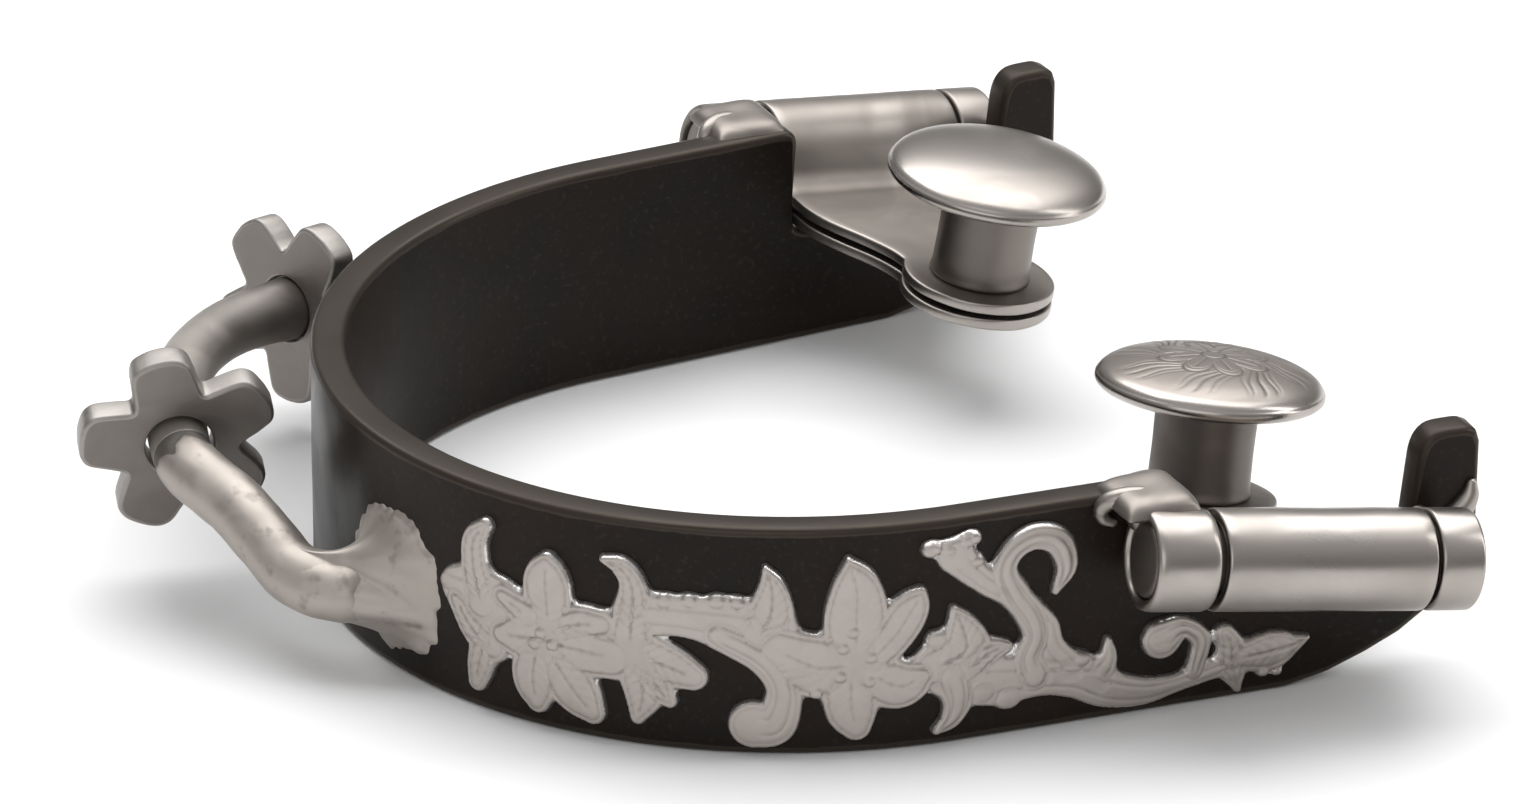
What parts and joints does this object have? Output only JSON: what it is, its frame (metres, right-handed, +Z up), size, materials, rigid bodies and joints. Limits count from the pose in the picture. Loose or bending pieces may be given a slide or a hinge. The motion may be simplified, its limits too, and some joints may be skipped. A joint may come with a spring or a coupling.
{
  "type": "western spur",
  "caption": "Heel band with a side floral overlay, an arched bar carrying lobed rowels behind the heel, and hinged hangers with domed strap buttons.",
  "frame": {"origin": "on the heel band's bottom edge, mid thickness, at the middle of the heel", "axes": "+X forward towards the boot's toe, +Z up, -Y towards the outside of the foot where the overlay is"},
  "size_m": [0.0955, 0.0968, 0.0219],
  "materials": {
    "brown_steel": "browned steel, semi-gloss, rubbed lighter on the edges",
    "nickel_silver": "satin nickel silver with engraved veins, and silver braze",
    "polished_steel": "polished stainless steel with fine scratches",
    "grey_steel": "dull grey steel, bright at the edges"
  },
  "bodies": {
    "frame": {"heel_band": "brown_steel", "floral_overlay": "nickel_silver", "bumper_bar": "grey_steel", "near_bar_leg": "nickel_silver", "far_bar_leg": "nickel_silver", "near_bar_foot": "nickel_silver", "far_bar_foot": "nickel_silver", "near_rear_knuckle": "polished_steel", "near_front_knuckle": "polished_steel", "near_hinge_pin": "polished_steel", "far_rear_knuckle": "polished_steel", "far_front_knuckle": "polished_steel", "far_hinge_pin": "polished_steel"},
    "near_hanger_body": {"near_hanger": "polished_steel", "near_button_post": "polished_steel", "near_button_cap": "polished_steel"},
    "far_hanger_body": {"far_hanger": "polished_steel", "far_button_post": "polished_steel", "far_button_cap": "polished_steel"},
    "near_rowel_body": {"near_rowel": "grey_steel"},
    "far_rowel_body": {"far_rowel": "grey_steel"}
  },
  "joints": [
    {"name": "near_hanger_swing", "type": "hinge", "parent": "frame", "child": "near_hanger_body", "pos_m": [0.04705, -0.04185, 0.01538], "axis": [0.9852, -0.0957, -0.1421], "range_deg": [0, 265]},
    {"name": "far_hanger_swing", "type": "hinge", "parent": "frame", "child": "far_hanger_body", "pos_m": [0.04705, 0.04185, 0.01538], "axis": [-0.9852, -0.0957, 0.1421], "range_deg": [0, 265]},
    {"name": "near_rowel_spin", "type": "hinge", "parent": "frame", "child": "near_rowel_body", "pos_m": [-0.01025, 0.01252, 0.0125], "axis": [0.2399, 0.9592, 0.1498], "continuous": true},
    {"name": "far_rowel_spin", "type": "hinge", "parent": "frame", "child": "far_rowel_body", "pos_m": [0.00862, 0.03596, 0.0106], "axis": [0.9135, 0.3963, -0.0919], "continuous": true}
  ]
}
